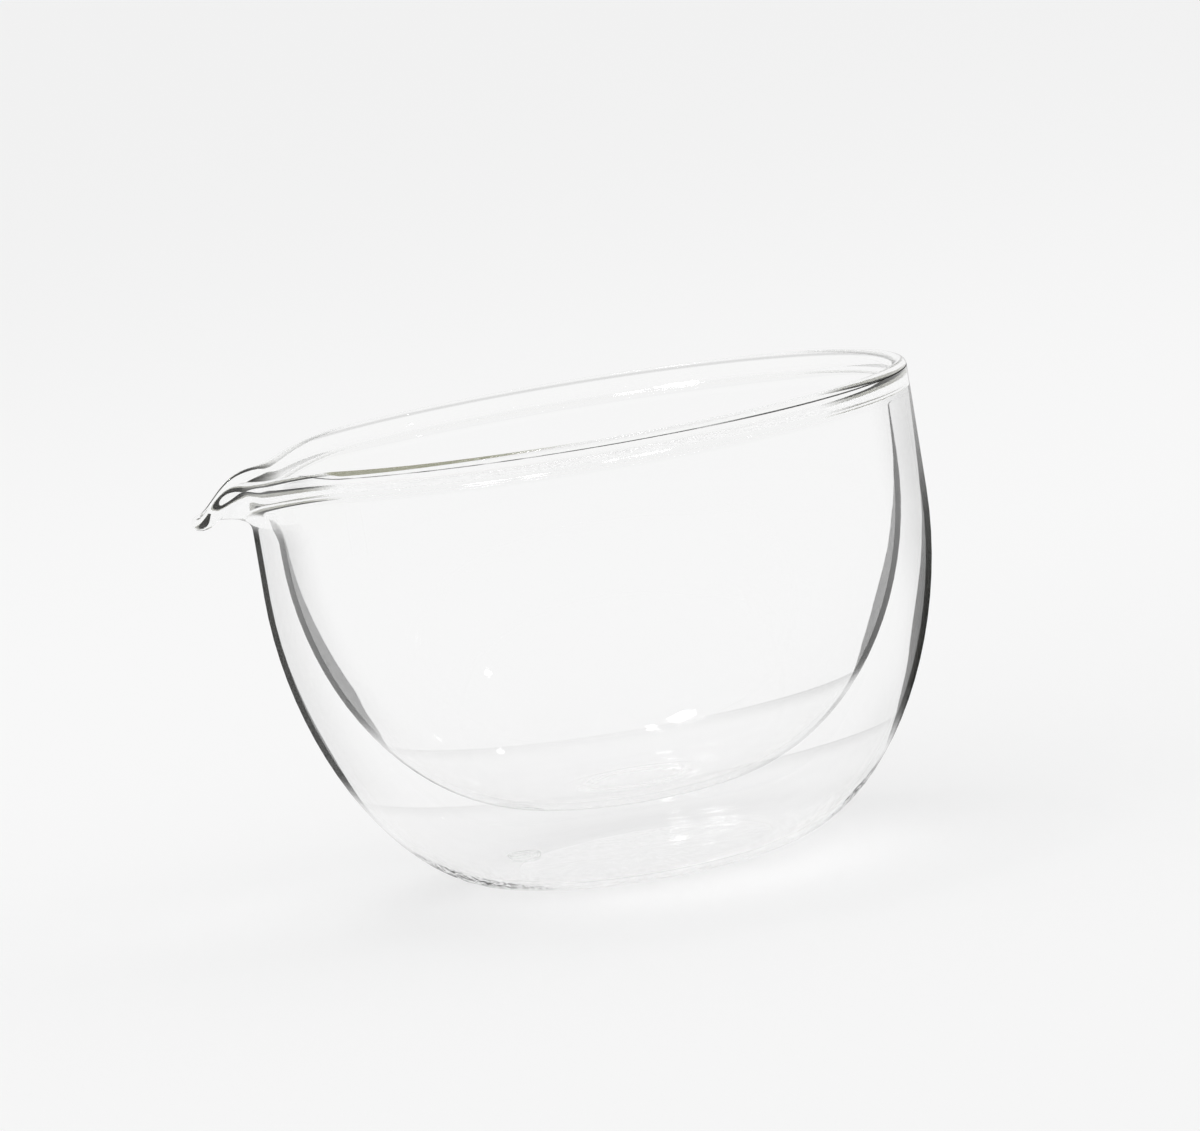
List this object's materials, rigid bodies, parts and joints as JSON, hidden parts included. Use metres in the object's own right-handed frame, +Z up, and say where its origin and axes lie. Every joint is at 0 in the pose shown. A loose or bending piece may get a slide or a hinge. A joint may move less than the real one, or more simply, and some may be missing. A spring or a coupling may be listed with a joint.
{
  "type": "double-walled matcha bowl",
  "caption": "Clear double-walled glass tea bowl with a rounded fused rim, a pulled pouring spout and a flat base closed by a vent plug.",
  "frame": {"origin": "centre of the flat base, on the bowl's axis and on the plane it stands on", "axes": "+Z up along the bowl's axis, the pouring spout towards -X"},
  "size_m": [0.135, 0.124, 0.085],
  "materials": {
    "clear_glass": "clear polished borosilicate glass",
    "clear_silicone": "clear satin silicone"
  },
  "bodies": {
    "root": {"inner_bowl": "clear_glass", "outer_shell": "clear_glass", "rim_seam": "clear_glass", "pour_spout": "clear_glass", "vent_plug": "clear_silicone"}
  },
  "joints": []
}
